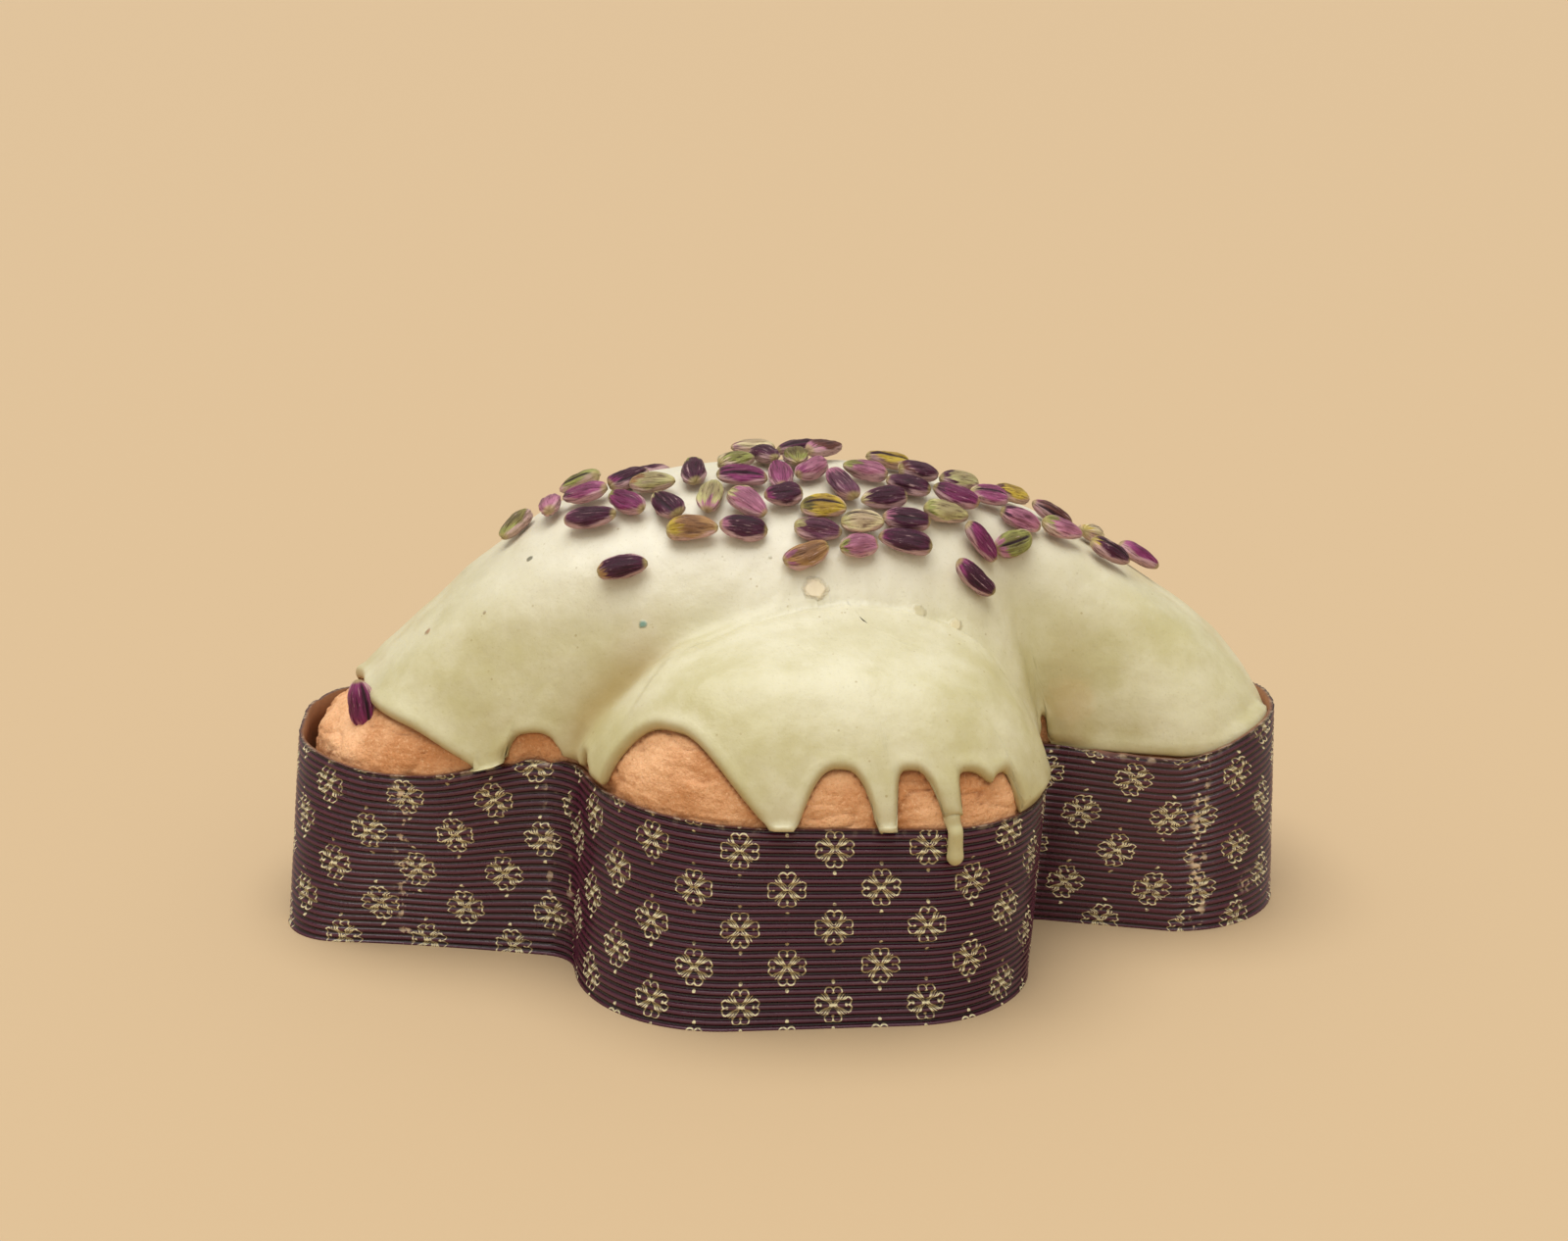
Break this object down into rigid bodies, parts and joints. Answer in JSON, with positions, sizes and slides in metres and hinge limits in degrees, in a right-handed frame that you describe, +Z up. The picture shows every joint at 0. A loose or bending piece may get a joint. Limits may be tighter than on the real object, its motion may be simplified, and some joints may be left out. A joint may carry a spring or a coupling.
{
  "type": "colomba cake",
  "caption": "Dove-shaped Easter cake in a corrugated paper case, with a dripping pistachio glaze and whole shelled pistachios on top.",
  "frame": {"origin": "middle of the paper case's flat underside, where the dove's body and wings cross", "axes": "+Z up; X along the dove's body, head at -X and tail at +X; Y along the wings; the picture was taken from the -Y side"},
  "size_m": [0.3055, 0.2128, 0.1414],
  "materials": {
    "paper": "corrugated plum paper with a waxy sheen and a pale gold petal print",
    "crust": "dry baked crust, orange-tan with fine crags",
    "glaze": "set pale pistachio glaze with a soft gloss",
    "nut": "wrinkled purple to green pistachio skin"
  },
  "bodies": {
    "root": {"paper_case": "paper", "cake": "crust", "pistachio_glaze": "glaze", "pistachio_01": "nut", "pistachio_02": "nut", "pistachio_03": "nut", "pistachio_04": "nut", "pistachio_05": "nut", "pistachio_06": "nut", "pistachio_07": "nut", "pistachio_08": "nut", "pistachio_09": "nut", "pistachio_10": "nut", "pistachio_11": "nut", "pistachio_12": "nut", "pistachio_13": "nut", "pistachio_14": "nut", "pistachio_15": "nut", "pistachio_16": "nut", "pistachio_17": "nut", "pistachio_18": "nut", "pistachio_19": "nut", "pistachio_20": "nut", "pistachio_21": "nut", "pistachio_22": "nut", "pistachio_23": "nut", "pistachio_24": "nut", "pistachio_25": "nut", "pistachio_26": "nut", "pistachio_27": "nut", "pistachio_28": "nut", "pistachio_29": "nut", "pistachio_30": "nut", "pistachio_31": "nut", "pistachio_32": "nut", "pistachio_33": "nut", "pistachio_34": "nut", "pistachio_35": "nut", "pistachio_36": "nut", "pistachio_37": "nut", "pistachio_38": "nut", "pistachio_39": "nut", "pistachio_40": "nut", "pistachio_41": "nut", "pistachio_42": "nut", "pistachio_43": "nut", "pistachio_44": "nut", "pistachio_45": "nut", "pistachio_46": "nut", "pistachio_47": "nut", "pistachio_48": "nut", "pistachio_49": "nut", "pistachio_50": "nut", "pistachio_51": "nut", "pistachio_52": "nut", "pistachio_53": "nut", "pistachio_54": "nut", "pistachio_55": "nut", "pistachio_56": "nut", "pistachio_57": "nut"}
  },
  "joints": []
}
